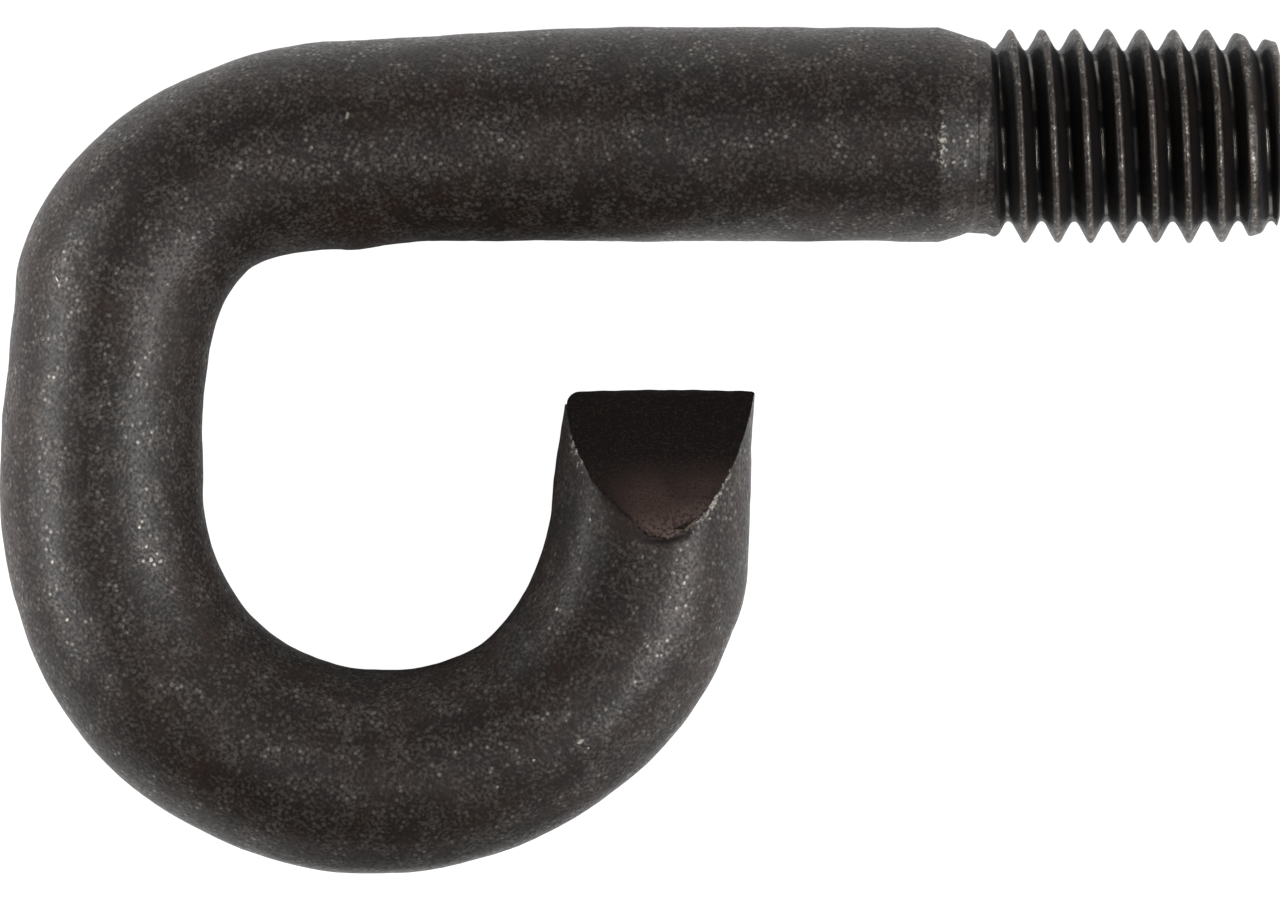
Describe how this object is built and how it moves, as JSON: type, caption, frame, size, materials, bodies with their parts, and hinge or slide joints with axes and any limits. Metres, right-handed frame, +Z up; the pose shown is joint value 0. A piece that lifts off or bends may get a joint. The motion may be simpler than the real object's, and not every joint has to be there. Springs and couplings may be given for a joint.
{
  "type": "hook bolt",
  "caption": "Steel hook bolt: a round rod bent to a P-shaped hook with a pinched tip, its straight shank ending in a short coarse thread for a nut.",
  "frame": {"origin": "on the shank axis, at the shoulder where the plain shank ends and the neck of the thread starts", "axes": "+X along the shank toward the threaded end, -Y toward the hook, +Z up with the bolt lying flat"},
  "size_m": [0.0596, 0.0395, 0.01],
  "materials": {
    "black_steel": "matte black oxide scale, worn pale on the thread crests and edges"
  },
  "bodies": {
    "root": {"hook_bolt": "black_steel"}
  },
  "joints": []
}
